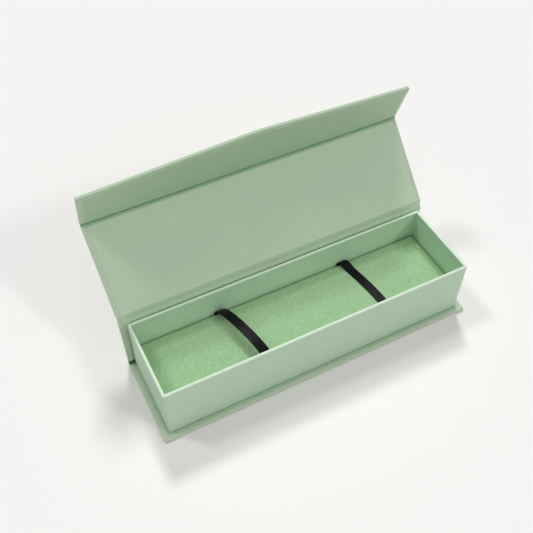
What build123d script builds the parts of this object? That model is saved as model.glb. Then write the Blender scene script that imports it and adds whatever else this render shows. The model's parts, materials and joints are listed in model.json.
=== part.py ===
from build123d import *
import math
import os

# A book-style presentation box for a watch or bracelet: a paper-covered board case
# (base, spine, lid and front flap) round a deep tray with a padded insert and two bands.
# Millimetres. X runs along the box, Y to the back, Z up. The origin is on the table,
# under the middle of the tray. The lid and the flap are drawn standing open.

# Stock that the box is cut from
paper = 0.2
case_board = 2.5
tray_board = 1.5
cloth = 0.6

# Tray
tray_length = 230.0
tray_width = 61.8
tray_height = 45.25
tray_corner_radius = 1.0
tray_turn_under = 12.0
corner_tape = 0.1
corner_tape_leg = 14.0

# Case boards round the tray
end_lip = 4.5
front_lip = 4.5
liner_inset = 2.5
spine_groove = 3.1
spine_head_drop = 3.3
spine_lean = 3.2
spine_hinge_dip = 1.4
groove_bend_share = 0.8

# Lid and its paper hinge
lid_closed_gap = 0.3
lid_axis_depth = 1.8
lid_axis_set_back = 1.1
lid_hinge_gap = 3.2
lid_hinge_dip = 0.5
lid_angle = 45.0

# Front flap and its crease
flap_length = 34.2
flap_fold = 60.0
flap_closed_gap = 0.6
flap_start = 0.4
crease_groove = 2.5
crease_dip = 0.3

# Magnets of the closure
magnet_radius = 5.0
magnet_play = 0.1
magnet_spacing = 120.0
magnet_drop = 22.0
flap_magnet_thickness = 1.5

# Padded insert
pad_below_rim = 22.9
pad_edge_radius = 1.4
foam_thickness = 3.0
riser_board = 1.5
riser_flange = 14.0
cloth_turn_under = 10.0

# Bands over the pad
strap_width = 7.3
strap_thickness = 0.6
strap_play = 0.2
strap_tail = 11.0
left_strap_back_x = -50.2
left_strap_front_x = -38.3
left_strap_rise = 11.0
left_strap_shoulder = 5.0
right_strap_back_x = 49.3
right_strap_front_x = 57.4
right_strap_rise = 2.0
right_strap_shoulder = 0.9

# Levels and faces that several pieces share
plate = case_board + 2 * paper
wall = 2 * paper + corner_tape + tray_board
case_length = tray_length + 2 * end_lip
tray_front = -tray_width / 2
tray_back = tray_width / 2
tray_top = plate + tray_height
tray_floor = plate + paper + tray_board
spine_outer = tray_back + plate
spine_foot = plate + spine_groove
axis = Vector(spine_outer + lid_axis_set_back, tray_top + lid_closed_gap + lid_axis_depth)
spine_head = axis.Y - spine_head_drop
base_back = spine_outer - spine_groove
base_front = tray_front - front_lip
crease_distance = axis.X - (tray_front - flap_closed_gap)
insert_gap = strap_thickness + strap_play


def block(low, high):
    """A box between two corners."""
    size = [b - a for a, b in zip(low, high)]
    return Pos(*low) * Box(*size, align=(Align.MIN, Align.MIN, Align.MIN))


def block_inside_tray(inset, low, high):
    """A box centred in the tray, inset from the tray's outside, between two levels."""
    x = tray_length / 2 - inset
    y = tray_width / 2 - inset
    return block((-x, -y, low), (x, y, high))


def direction(angle):
    """A unit step in the YZ plane at an angle above +Y."""
    return Vector(math.cos(math.radians(angle)), math.sin(math.radians(angle)))


def left_of(step):
    """The step turned a quarter to its left."""
    return Vector(-step.Y, step.X)


def meeting_point(p, u, q, v):
    """Where the line through p along u meets the line through q along v."""
    w = q - p
    return p + u * ((w.X * v.Y - w.Y * v.X) / (u.X * v.Y - u.Y * v.X))


# The spine's, the lid's and the flap's own directions, and the crease between the last two.
# The spine touches the tray at its foot and leans a little away from it.
spine_step = direction(90 - spine_lean)
spine_inward = left_of(spine_step)
lid_step = direction(lid_angle)
lid_inward = left_of(lid_step)
crease = axis + lid_inward * lid_axis_depth + lid_step * crease_distance
flap_step = direction(lid_angle + flap_fold)
flap_inward = left_of(flap_step)


# A covered board: the board, the cover paper round it and the liner on its inner face.
# It is drawn flat, with Y away from its hinge and Z from the outer to the inner face.
def covered_board(depth, far_edge_wrapped):
    x = case_length / 2
    board_end = depth - (paper if far_edge_wrapped else 0)
    liner_end = depth - (liner_inset if far_edge_wrapped else 0)
    board = block((paper - x, 0, paper), (x - paper, board_end, plate - paper))
    liner = block((liner_inset - x, 0, plate - paper), (x - liner_inset, liner_end, plate))
    cover = block((-x, 0, 0), (x, depth, plate)) - board - liner
    return board, cover, liner


def panel_place(origin, inward, x_dir=(1, 0, 0)):
    """The place of a covered board whose outer face starts at origin."""
    return Plane((0, origin.X, origin.Y), x_dir=x_dir, z_dir=(0, inward.X, inward.Y)).location


# Two papers glued to each other, bending once between the ends of two boards
def paper_hinge(start, corner, end):
    u = (corner - start).normalized()
    v = (end - corner).normalized()
    turn = math.atan2(u.X * v.Y - u.Y * v.X, u.dot(v))
    shorter_leg = min((corner - start).length, (end - corner).length)
    bend = groove_bend_share * shorter_leg / math.tan(abs(turn) / 2)
    sides = []
    for shift in (paper, -paper):
        first = start + left_of(u) * shift
        last = end + left_of(v) * shift
        middle = meeting_point(first, u, last, v)
        radius = bend - shift * math.copysign(1, turn)
        sides.append(FilletPolyline(first, middle, last, radius=radius))
    ends = [Line(sides[0] @ 0, sides[1] @ 0), Line(sides[0] @ 1, sides[1] @ 1)]
    outline = [edge for curve in sides + ends for edge in curve.edges()]
    return extrude(Plane.YZ.offset(-case_length / 2) * make_face(outline), case_length)


# Case: base, spine, lid and flap
spine_origin = Vector(spine_outer, spine_foot)
lid_origin = axis + lid_inward * (lid_axis_depth - plate) + lid_step * lid_hinge_gap
flap_origin = crease - flap_inward * plate + flap_step * flap_start
lid_depth = crease_distance - lid_hinge_gap - crease_groove

base_place = panel_place(Vector(base_back, 0), Vector(0, 1), x_dir=(-1, 0, 0))
spine_place = panel_place(spine_origin, spine_inward)
lid_place = panel_place(lid_origin, lid_inward)
flap_place = panel_place(flap_origin, flap_inward)

base_board, base_cover, base_liner = [
    base_place * piece for piece in covered_board(base_back - base_front, True)
]
spine_length = spine_head - spine_foot
spine_board, spine_cover, spine_liner = [
    spine_place * piece for piece in covered_board(spine_length, False)
]
lid_board, lid_cover, lid_liner = [lid_place * piece for piece in covered_board(lid_depth, False)]
flap_board, flap_cover, flap_liner = [
    flap_place * piece for piece in covered_board(flap_length - flap_start, True)
]

base_paper_start = Vector(base_back, paper)
base_paper_end = spine_origin + spine_inward * paper
base_paper_corner = meeting_point(base_paper_start, Vector(1, 0), base_paper_end, spine_step)
base_hinge_paper = paper_hinge(base_paper_start, base_paper_corner, base_paper_end)

lid_paper_end = lid_origin + lid_inward * (plate - lid_hinge_dip - paper)
spine_level = plate - spine_hinge_dip - paper
lid_paper_start = spine_origin + spine_step * spine_length + spine_inward * spine_level
lid_paper_corner = meeting_point(lid_paper_start, spine_step, lid_paper_end, lid_step)
lid_hinge_paper = paper_hinge(lid_paper_start, lid_paper_corner, lid_paper_end)

crease_level = crease_dip + paper
flap_paper_start = crease - lid_step * crease_groove - lid_inward * crease_level
flap_paper_end = crease + flap_step * flap_start - flap_inward * crease_level
flap_paper_corner = meeting_point(flap_paper_start, lid_step, flap_paper_end, flap_step)
flap_hinge_paper = paper_hinge(flap_paper_start, flap_paper_corner, flap_paper_end)


# Tray: a floor and four walls of board, taped at the corners and wrapped in paper
def rounded_tray_block(inset, low, high):
    outline = RectangleRounded(
        tray_length - 2 * inset, tray_width - 2 * inset, tray_corner_radius - inset
    )
    return Pos(0, 0, low) * extrude(outline, high - low)


board_low = plate + paper
board_high = tray_top - paper
board_outset = paper + corner_tape
board_inset = board_outset + tray_board
half_length = tray_length / 2
inner_x = half_length - board_inset
inner_y = tray_back - board_inset

tray_floor_board = block_inside_tray(board_inset, board_low, tray_floor)
wall_ring = rounded_tray_block(board_outset, board_low, board_high)
wall_ring -= block_inside_tray(board_inset, board_low, board_high)
tray_front_board = wall_ring & block(
    (-half_length, tray_front, board_low), (half_length, -inner_y, board_high)
)
tray_back_board = wall_ring & block(
    (-half_length, inner_y, board_low), (half_length, tray_back, board_high)
)
tray_left_board = wall_ring & block(
    (-half_length, -inner_y, board_low), (-inner_x, inner_y, board_high)
)
tray_right_board = wall_ring & block(
    (inner_x, -inner_y, board_low), (half_length, inner_y, board_high)
)

tape_ring = rounded_tray_block(paper, board_low, board_high)
tape_ring -= rounded_tray_block(board_outset, board_low, board_high)
tape_reach = paper + corner_tape_leg
tape_corner = block_inside_tray(0, board_low, board_high)
tape_corner -= block(
    (tape_reach - half_length, tray_front, board_low), (half_length - tape_reach, tray_back, board_high)
)
tape_corner -= block(
    (-half_length, tray_front + tape_reach, board_low), (half_length, tray_back - tape_reach, board_high)
)
tray_corner_tapes = Compound(children=list((tape_ring & tape_corner).solids()))

tray_wrap = rounded_tray_block(0, plate, tray_top)
tray_wrap -= block_inside_tray(wall, tray_floor, tray_top)
tray_wrap -= block_inside_tray(tray_turn_under, plate, board_low)
for hidden in (tray_floor_board, wall_ring, tray_corner_tapes):
    tray_wrap -= hidden


# Closure magnets: through the tray's front board, and let into the flap's inner face
def disc(x, centre, thickness, radius, place):
    """A disc that starts at a level of a covered board and rises towards its inner face."""
    return place * (Pos(x, centre.X, centre.Y) * extrude(Circle(radius), thickness))


magnet_level = tray_top + lid_closed_gap - magnet_drop
tray_magnet_place = Plane(
    origin=(0, tray_front + board_outset, magnet_level), x_dir=(1, 0, 0), z_dir=(0, 1, 0)
).location
flap_magnet_centre = Vector(magnet_drop - flap_start, plate - paper - flap_magnet_thickness)
tray_magnet_list = []
flap_magnet_list = []
for x in (-magnet_spacing / 2, magnet_spacing / 2):
    tray_magnet_list.append(disc(x, Vector(0, 0), tray_board, magnet_radius, tray_magnet_place))
    flap_magnet_list.append(
        disc(x, flap_magnet_centre, flap_magnet_thickness, magnet_radius, flap_place)
    )
    hole_radius = magnet_radius + magnet_play
    tray_front_board -= disc(x, Vector(0, 0), tray_board, hole_radius, tray_magnet_place)
    flap_board -= disc(x, flap_magnet_centre, flap_magnet_thickness, hole_radius, flap_place)
tray_magnets = Compound(children=tray_magnet_list)
flap_magnets = Compound(children=flap_magnet_list)

# Padded insert: a folded board riser, a sheet of foam and a suede-like cloth turned under.
# It sits on the ends of the two bands.
insert_inset = wall + insert_gap
core_inset = insert_inset + cloth
insert_seat = tray_floor + strap_thickness
riser_low = insert_seat + cloth
pad_top = tray_top - pad_below_rim
foam_high = pad_top - cloth
riser_high = foam_high - foam_thickness


def round_top(solid, radius):
    return fillet(solid.faces().sort_by(Axis.Z)[-1].edges(), radius)


riser_block = block_inside_tray(core_inset, riser_low, riser_high)
insert_riser = riser_block - block_inside_tray(
    core_inset + riser_board, riser_low + riser_board, riser_high - riser_board
)
insert_riser -= block_inside_tray(core_inset + riser_flange, riser_low, riser_low + riser_board)
insert_foam = round_top(
    block_inside_tray(core_inset, riser_high, foam_high), pad_edge_radius - cloth
)
insert_cover = round_top(block_inside_tray(insert_inset, insert_seat, pad_top), pad_edge_radius)
insert_cover -= riser_block
insert_cover -= insert_foam
insert_cover -= block_inside_tray(insert_inset + cloth_turn_under, insert_seat, riser_low)


# Bands: each goes down the gap at the front and back of the insert and under it, and
# crosses the pad in three arcs, a little aslant. The left band stands up as an arch, and
# the right one lies almost flat.
def band(back_x, front_x, rise, shoulder):
    half_pad = tray_back - insert_inset
    slope = (back_x - front_x) / (2 * half_pad)
    stretch = math.hypot(1, slope)
    inner_half = half_pad * stretch
    thickness = strap_thickness * stretch
    inner_rise = rise - thickness
    shoulder_x = inner_half - shoulder
    rise_left = inner_rise - shoulder
    drop = (shoulder_x**2 - rise_left**2) / (2 * rise_left)
    crown = inner_rise + drop
    turn = math.degrees(math.atan2(drop, shoulder_x))
    outline = []
    for step in (0, thickness):
        outline.append(CenterArc((shoulder_x, pad_top), shoulder + step, 0, turn))
        outline.append(CenterArc((0, pad_top - drop), crown + step, turn, 180 - 2 * turn))
        outline.append(CenterArc((-shoulder_x, pad_top), shoulder + step, 180 - turn, turn))
    outer_half = inner_half + thickness
    tail_half = inner_half - strap_tail
    for side in (-1, 1):
        outline.append(
            Polyline(
                (side * outer_half, pad_top),
                (side * outer_half, tray_floor),
                (side * tail_half, tray_floor),
                (side * tail_half, insert_seat),
                (side * inner_half, insert_seat),
                (side * inner_half, pad_top),
            )
        )
    edges = [edge for curve in outline for edge in curve.edges()]
    middle_x = (back_x + front_x - strap_width) / 2
    side_plane = Plane((middle_x, 0, 0), x_dir=(slope, 1, 0), z_dir=(1, -slope, 0))
    return extrude(side_plane * make_face(edges), strap_width, dir=(1, 0, 0))


strap_left = band(
    left_strap_back_x, left_strap_front_x, left_strap_rise, left_strap_shoulder
)
strap_right = band(
    right_strap_back_x, right_strap_front_x, right_strap_rise, right_strap_shoulder
)

nodes = {
    "base_board": base_board,
    "base_cover_paper": base_cover,
    "base_liner_paper": base_liner,
    "base_hinge_paper": base_hinge_paper,
    "spine_board": spine_board,
    "spine_cover_paper": spine_cover,
    "spine_liner_paper": spine_liner,
    "tray_floor_board": tray_floor_board,
    "tray_front_board": tray_front_board,
    "tray_back_board": tray_back_board,
    "tray_left_board": tray_left_board,
    "tray_right_board": tray_right_board,
    "tray_corner_tapes": tray_corner_tapes,
    "tray_wrap_paper": tray_wrap,
    "tray_magnets": tray_magnets,
    "insert_riser": insert_riser,
    "insert_foam": insert_foam,
    "insert_cover": insert_cover,
    "strap_left": strap_left,
    "strap_right": strap_right,
    "lid_hinge_paper": lid_hinge_paper,
    "lid_board": lid_board,
    "lid_cover_paper": lid_cover,
    "lid_liner_paper": lid_liner,
    "flap_hinge_paper": flap_hinge_paper,
    "flap_board": flap_board,
    "flap_cover_paper": flap_cover,
    "flap_liner_paper": flap_liner,
    "flap_magnets": flap_magnets,
}

os.makedirs("parts", exist_ok=True)
for name, solid in nodes.items():
    export_step(solid, f"parts/{name}.step")

print("lid hinge axis", round(axis.X, 3), round(axis.Y, 3))
print("flap crease axis", round(crease.X, 3), round(crease.Y, 3))
print("rim", round(tray_top, 3), "pad", round(pad_top, 3), "tray floor", round(tray_floor, 3))
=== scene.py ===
import bmesh
import bpy
import json
import math
from mathutils import Matrix, Vector, noise


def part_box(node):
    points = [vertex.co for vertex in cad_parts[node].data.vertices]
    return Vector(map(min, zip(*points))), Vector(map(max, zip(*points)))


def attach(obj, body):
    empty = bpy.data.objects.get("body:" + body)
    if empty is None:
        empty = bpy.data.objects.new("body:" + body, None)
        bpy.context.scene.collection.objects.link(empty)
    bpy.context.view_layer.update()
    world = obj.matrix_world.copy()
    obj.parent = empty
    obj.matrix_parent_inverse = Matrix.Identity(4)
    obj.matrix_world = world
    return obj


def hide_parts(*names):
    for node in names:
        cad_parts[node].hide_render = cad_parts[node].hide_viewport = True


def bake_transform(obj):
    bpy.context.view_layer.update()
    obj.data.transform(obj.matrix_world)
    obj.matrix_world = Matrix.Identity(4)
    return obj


# The looks of the presentation box: papers, suede pad and bands round the fixed frame.
# Geometry is worked out in millimetres and turned into metres when a mesh is made.
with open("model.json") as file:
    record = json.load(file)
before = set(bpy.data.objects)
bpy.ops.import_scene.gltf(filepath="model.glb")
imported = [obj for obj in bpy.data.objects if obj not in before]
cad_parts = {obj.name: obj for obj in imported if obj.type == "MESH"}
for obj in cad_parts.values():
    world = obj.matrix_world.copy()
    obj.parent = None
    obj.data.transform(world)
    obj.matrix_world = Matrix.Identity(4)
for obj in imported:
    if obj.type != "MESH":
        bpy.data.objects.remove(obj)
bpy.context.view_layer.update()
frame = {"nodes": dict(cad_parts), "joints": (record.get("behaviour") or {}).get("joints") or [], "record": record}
mm = 0.001
print("frame loaded:", len(frame["nodes"]), "nodes")


def nodeBox(node):  # a CAD node's lowest and highest corner, in millimetres
    low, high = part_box(node)
    return low / mm, high / mm


# Places that several pieces share, read from the frame
baseLow, baseHigh = nodeBox("base_cover_paper")
spineLow, spineHigh = nodeBox("spine_cover_paper")
trayLow, trayHigh = nodeBox("tray_wrap_paper")
padLow, padHigh = nodeBox("insert_cover")
floorBoardHigh = nodeBox("tray_floor_board")[1]
joints = {joint["name"]: joint for joint in frame["joints"]}

case = {
    "halfLength": baseHigh.x,
    "plate": baseHigh.z,
    "paper": 0.2,
    "lidAngle": 45.0,
    "flapFold": -joints["flap_hinge"]["range_deg"][0],
    "spineLean": 3.2,
    "hingeGap": 3.2,
    "hingeJoin": 2.4,
    "hingeInner": [(0.0, 1.25), (-0.3, -1.25)],     # bends of its inner face, from the lid's axis
    "hingeLevel": 0.95,
    "hingeHead": 0.6,       # how far the hinge paper runs on past the spine's head
    "hingeTurn": 1.4,       # where it turns up along the lid
    "hingeTuck": 0.3,       # how far below the spine's head it leaves the spine's inner face
    "creaseGroove": 2.3,        # from the lid board's edge to the flap's fold
    "creaseSink": 0.35,
    "creaseUnder": 1.1,
    "creaseFoot": (0.25, 0.1),      # where the liner's fold lies, along the flap and below its face
    "creaseRise": 0.7,      # how far up the flap it comes level again
    "creaseFall": (0.1, 0.5),       # where it leaves the lid's face and reaches its depth
    "creaseTuck": 1.2,      # how far the flap's cover runs on under the lid's board
    "flapLength": 34.2,
    "flapStart": 0.4,
    "linerInset": 2.5,
    "linerStep": 0.12,
}


def sideVector(values):  # a frame point seen along X: its Y and Z in millimetres
    return Vector((values[1], values[2])) / mm


def towards(degrees):  # a unit step in the side view, degrees above +Y
    return Vector((math.cos(math.radians(degrees)), math.sin(math.radians(degrees))))


def quarterLeft(step):
    return Vector((-step.y, step.x))


lidAxis = sideVector(joints["lid_hinge"]["pos_m"])
crease = sideVector(joints["flap_hinge"]["pos_m"])
lidStep = towards(case["lidAngle"])
lidInward = quarterLeft(lidStep)
flapStep = towards(case["lidAngle"] + case["flapFold"])
flapInward = quarterLeft(flapStep)
innerLevel = (crease - lidAxis).dot(lidInward)      # the lid's inner face above its hinge axis
creaseReach = (crease - lidAxis).dot(lidStep)       # how far the crease is from the axis
lidEnd = creaseReach - case["creaseGroove"]


def lidPoint(along, depth):  # depth is below the lid's inner face
    return lidAxis + lidStep * along + lidInward * (innerLevel - depth)


def flapPoint(along, depth):  # depth is below the flap's inner face
    return crease + flapStep * along - flapInward * depth


spineStep = towards(90 - case["spineLean"])
spineInward = quarterLeft(spineStep)
spineFoot = Vector((spineLow.y - spineInward.x * case["plate"], spineLow.z))
spineLength = (spineHigh.z - spineLow.z - spineInward.y * case["plate"]) / spineStep.y


def spinePoint(along, depth):  # depth is inward from the spine's outer face
    return spineFoot + spineStep * along + spineInward * depth


def meeting(p, u, q, v):  # where two lines of the side view cross
    w = q - p
    return p + u * ((w.x * v.y - w.y * v.x) / (u.x * v.y - u.y * v.x))


# Shared mesh tools
outlineDetail = {"arcSteps": 5, "support": 0.7, "shortestLeg": 2.2, "endSteps": 4, "longestReach": 0.45}
endWearAndSheetShade = {"edge": 0.9, "fade": 0.8, "sheet": -0.6, "boardRounding": 0.2}     # wear of an outline's two ends where they wrap a board, painted shade at a sheet's ends


def softMix(a, b, share):
    return a + (b - a) * share


def smooth(low, high, value):
    t = max(0.0, min(1.0, (value - low) / (high - low)))
    return t * t * (3 - 2 * t)


# A closed outline with rounded corners. A corner is (point, radius, wear, end rounding); wear below 0 is painted
# shade.
# Each outline point carries its wear and end rounding, and flats get a plain point near
# each corner, so that wear stays at the corner.
def roundedOutline(corners):
    outline = []
    count = len(corners)
    for index, (corner, radius, wear, endRound) in enumerate(corners):
        before = corners[index - 1][0] - corner
        after = corners[(index + 1) % count][0] - corner
        legs = (before.length, after.length)
        before.normalize()
        after.normalize()
        half = before.angle(after) / 2
        longest = outlineDetail["longestReach"]
        reach = min(radius / math.tan(half), longest * legs[0], longest * legs[1])
        if legs[0] > outlineDetail["shortestLeg"]:
            outline.append((corner + before * (reach + outlineDetail["support"]), 0.0, endRound))
        middle = corner + (before + after).normalized() * (reach / math.cos(half))
        start = corner + before * reach - middle
        turn = start.angle_signed(corner + after * reach - middle)
        for step in range(outlineDetail["arcSteps"] + 1):
            angle = -turn * step / outlineDetail["arcSteps"]
            outline.append((middle + Matrix.Rotation(angle, 2) @ start, wear, endRound))
        if legs[1] > outlineDetail["shortestLeg"]:
            outline.append((corner + after * (reach + outlineDetail["support"]), 0.0, endRound))
    return outline


def outwardNormals(points):  # of a closed outline
    area = sum(p.x * q.y - q.x * p.y for p, q in zip(points, points[1:] + points[:1]))
    side = 1 if area > 0 else -1
    normals = []
    for index in range(len(points)):
        along = points[(index + 1) % len(points)] - points[index - 1]
        normals.append(Vector((along.y, -along.x)).normalized() * side)
    return normals


def makePiece(name, vertices, faces, material, wear=None, smoothAngle=50):
    mesh = bpy.data.meshes.new(name)
    mesh.from_pydata([Vector(v) * mm for v in vertices], [], faces)
    shell = bmesh.new()
    shell.from_mesh(mesh)
    bmesh.ops.recalc_face_normals(shell, faces=shell.faces)
    shell.to_mesh(mesh)
    shell.free()
    # the wear attribute holds wear above 0 and painted shade below 0
    if wear is not None:
        mesh.attributes.new("wear", "FLOAT", "POINT").data.foreach_set("value", wear)
    mesh.shade_smooth()
    mesh.set_sharp_from_angle(angle=math.radians(smoothAngle))
    mesh.materials.append(material)
    piece = bpy.data.objects.new(name, mesh)
    bpy.context.scene.collection.objects.link(piece)
    flatten = piece.modifiers.new("even shading", "WEIGHTED_NORMAL")
    flatten.keep_sharp = True
    return piece


def ringFaces(rings, count, looped=False):  # between rings of points, with end caps unless looped
    faces = []
    for ring in range(rings if looped else rings - 1):
        a, b = ring * count, (ring + 1) % rings * count
        for index in range(count):
            after = (index + 1) % count
            faces.append((a + index, a + after, b + after, b + index))
    if not looped:
        faces.append(tuple(range(count)))
        faces.append(tuple(reversed(range((rings - 1) * count, rings * count))))
    return faces


# A length of one outline along X, with its two ends rounded over and closed. Its ends are worn
# where they are a board's, and get painted shade where they are a thin sheet's. Where the painted
# shade function gives a number below 0 for a point, that painted shade counts.
def drawnAlongX(name, outline, halfLength, stations, material, shape=None, paintedShade=None):
    points = [point for point, _, _ in outline]
    normals = outwardNormals(points)
    steps = outlineDetail["endSteps"]
    rings = []      # inset from the outline, share of the rounding, way beyond it, edge wear
    for step in range(steps + 1):
        angle = math.radians(90 * step / steps)
        edge = endWearAndSheetShade["edge"] - endWearAndSheetShade["fade"] * step / steps
        rings.append((1 - math.sin(angle), 1 - math.cos(angle), 0.0, edge))
    rings.append((0.0, 1.0, outlineDetail["support"], 0.0))
    vertices, wear = [], []

    def addRing(side, inset, back, extra, edge):
        for (point, cornerWearAndShade, endRound), normal in zip(outline, normals):
            x = side * (halfLength - endRound * back - extra)
            inner = point - normal * (endRound * inset)
            vertices.append((x, inner.x, inner.y))
            # a board's end gets worn colour, a sheet's end gets painted shade
            if endRound > endWearAndSheetShade["boardRounding"]:
                wear.append(max(cornerWearAndShade, edge))
            else:
                wear.append(min(cornerWearAndShade, endWearAndSheetShade["sheet"] * edge))

    for inset, back, extra, edge in rings:
        addRing(-1, inset, back, extra, edge)
    for x in stations:
        for point, cornerWearAndShade, _ in outline:
            vertices.append((x, point.x, point.y))
            wear.append(cornerWearAndShade)
    for inset, back, extra, edge in reversed(rings):
        addRing(1, inset, back, extra, edge)
    if paintedShade:
        shades = [paintedShade(v) for v in vertices]
        wear = [min(amount, dark) if dark < 0 else amount for amount, dark in zip(wear, shades)]
    if shape:
        vertices = [shape(Vector(v)) for v in vertices]
    faces = ringFaces(2 * len(rings) + len(stations), len(points))
    return makePiece(name, vertices, faces, material, wear)


# A sheet's closed outline from the path of its visible side: (point, radius, wear) for each
def sheetOutline(path, thickness, endRound):
    points = [point for point, _, _ in path]
    under = []
    for index, point in enumerate(points):
        before = (point - points[index - 1]).normalized() if index else None
        after = (points[index + 1] - point).normalized() if index + 1 < len(points) else None
        first, last = before or after, after or before
        a, b = quarterLeft(first), quarterLeft(last)
        under.append(point + (a + b) * (thickness / (1 + a.dot(b))))
    corners = [(point, radius, wear, endRound) for point, radius, wear in path]
    for point, (_, radius, _) in zip(reversed(under), reversed(path)):
        corners.append((point, radius, 0.0, endRound))
    return roundedOutline(corners)


# More points on one flat of an outline, so that shade can change along it
def withPlaces(outline, start, step, places):
    result = []
    for (a, wear, endRound), (b, _, _) in zip(outline, outline[1:] + outline[:1]):
        result.append((a, wear, endRound))
        if max(abs((p - start).dot(quarterLeft(step))) for p in (a, b)) < 0.01:
            reach = [(p - start).dot(step) for p in (a, b)]
            for place in sorted(places, reverse=reach[1] < reach[0]):
                if min(reach) < place < max(reach):
                    result.append((start + step * place, 0.0, endRound))
    return result


def between(table, value):  # a value from a table of (place, value), straight between its rows
    for (a, first), (b, second) in zip(table, table[1:]):
        if value < b:
            return softMix(first, second, max(0.0, (value - a) / (b - a)))
    return table[-1][1]


def evenSteps(low, high, count):
    return [low + (high - low) * step / count for step in range(count + 1)]


# Node tools
def addNode(tree, kind, place=(0, 0), **values):
    node = tree.nodes.new(kind)
    node.location = place
    for key, value in values.items():
        if key in node.inputs:
            node.inputs[key].default_value = value
        else:
            setattr(node, key, value)
    return node


def newEffect(name, inputs, outputs):
    group = bpy.data.node_groups.new(name, "ShaderNodeTree")
    for label, kind, value in inputs:
        socket = group.interface.new_socket(name=label, in_out="INPUT", socket_type=kind)
        socket.default_value = value
    for label, kind in outputs:
        group.interface.new_socket(name=label, in_out="OUTPUT", socket_type=kind)
    start = addNode(group, "NodeGroupInput", (-900, 0))
    end = addNode(group, "NodeGroupOutput", (700, 0))
    return group, start, end


def mathNode(tree, operation, first, second, place=(0, 0), clamp=False):
    node = addNode(tree, "ShaderNodeMath", place, operation=operation, use_clamp=clamp)
    for index, value in enumerate((first, second)):
        if isinstance(value, (int, float)):
            node.inputs[index].default_value = value
        else:
            tree.links.new(value, node.inputs[index])
    return node.outputs[0]


def mixColours(tree, factor, first, second, place=(0, 0)):
    node = addNode(tree, "ShaderNodeMix", place, data_type="RGBA")
    sockets = (node.inputs["Factor"], node.inputs[6], node.inputs[7])
    for socket, value in zip(sockets, (factor, first, second)):
        if isinstance(value, bpy.types.NodeSocket):
            tree.links.new(value, socket)
        else:
            socket.default_value = value
    return node.outputs[2]


colourKind, valueKind = "NodeSocketColor", "NodeSocketFloat"


# Fine grain of a coated paper: short fibres, specks of tooth and slow clouds of tone
def makePaperGrain():
    group, start, end = newEffect(
        "paper grain",
        [("Colour", colourKind, (1, 1, 1, 1)), ("Grain", valueKind, 0.05), ("Clouds", valueKind, 0.05)],
        [("Colour", colourKind), ("Height", valueKind), ("Roughness", valueKind)],
    )
    place = addNode(group, "ShaderNodeTexCoord", (-1300, -200))
    tooth = addNode(group, "ShaderNodeTexNoise", (-700, 200), Scale=1500.0, Detail=3.0)
    fibres = addNode(group, "ShaderNodeTexNoise", (-700, -50), Scale=420.0, Detail=4.0, Distortion=1.2)
    clouds = addNode(group, "ShaderNodeTexNoise", (-700, -300), Scale=26.0, Detail=3.0)
    for node in (tooth, fibres, clouds):
        group.links.new(place.outputs["Object"], node.inputs["Vector"])
    fine = mathNode(group, "ADD", tooth.outputs["Fac"], fibres.outputs["Fac"], (-450, 100))
    fine = mathNode(group, "SUBTRACT", fine, 1.0, (-300, 100))
    slow = mathNode(group, "SUBTRACT", clouds.outputs["Fac"], 0.5, (-450, -300))
    fineTone = mathNode(group, "MULTIPLY", fine, start.outputs["Grain"], (-150, 100))
    slowTone = mathNode(group, "MULTIPLY", slow, start.outputs["Clouds"], (-150, -200))
    tone = mathNode(group, "ADD", mathNode(group, "ADD", fineTone, slowTone, (0, 0)), 1.0, (150, 0))
    scaled = addNode(group, "ShaderNodeVectorMath", (350, 0), operation="SCALE")
    group.links.new(start.outputs["Colour"], scaled.inputs[0])
    group.links.new(tone, scaled.inputs["Scale"])
    group.links.new(scaled.outputs[0], end.inputs["Colour"])
    group.links.new(fine, end.inputs["Height"])
    rough = mathNode(group, "MULTIPLY", fibres.outputs["Fac"], 0.16, (350, -200))
    group.links.new(mathNode(group, "ADD", rough, 0.5, (500, -200)), end.inputs["Roughness"])
    return group


# Rubbed edges and painted shade: the wear painted on the mesh gives worn colour above 0 at edges, broken up
# by noise, and painted shade in the fold colour below 0, in folds, creases, gaps and next to the tray
def makeWearAndShadeGroup():
    group, start, end = newEffect(
        "edge wear and painted shade",
        [("Colour", colourKind, (1, 1, 1, 1)), ("Worn colour", colourKind, (1, 1, 1, 1)),
         ("Painted shade colour", colourKind, (0, 0, 0, 1)), ("Amount", valueKind, 0.5)],
        [("Colour", colourKind)],
    )
    wear = addNode(group, "ShaderNodeAttribute", (-900, -250), attribute_name="wear")
    place = addNode(group, "ShaderNodeTexCoord", (-1100, -450))
    breaks = addNode(group, "ShaderNodeTexNoise", (-700, -450), Scale=160.0, Detail=5.0)
    group.links.new(place.outputs["Object"], breaks.inputs["Vector"])
    raised = mathNode(group, "MAXIMUM", wear.outputs["Fac"], 0.0, (-650, -250))
    worn = mathNode(group, "POWER", raised, 1.6, (-500, -250))
    broken = mathNode(group, "ADD", breaks.outputs["Fac"], 0.35, (-500, -450))
    mask = mathNode(group, "MULTIPLY", worn, broken, (-300, -300), clamp=True)
    mask = mathNode(group, "MULTIPLY", mask, start.outputs["Amount"], (-100, -300), clamp=True)
    # wear below 0 mixes in the fold colour: painted shade
    fold = mathNode(group, "MULTIPLY", wear.outputs["Fac"], -1.0, (-500, 150), clamp=True)
    colour = mixColours(group, mask, start.outputs["Colour"], start.outputs["Worn colour"], (200, 0))
    colour = mixColours(group, fold, colour, start.outputs["Painted shade colour"], (400, 0))
    group.links.new(colour, end.inputs["Colour"])
    return group


paperGrain = makePaperGrain()
wearAndShadeGroup = makeWearAndShadeGroup()


def newMaterial(name, roughness, specular):
    material = bpy.data.materials.new(name)
    material.use_nodes = True
    tree = material.node_tree
    shader = tree.nodes["Principled BSDF"]
    shader.inputs["Roughness"].default_value = roughness
    shader.inputs["Specular IOR Level"].default_value = specular
    return material, tree, shader


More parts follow.
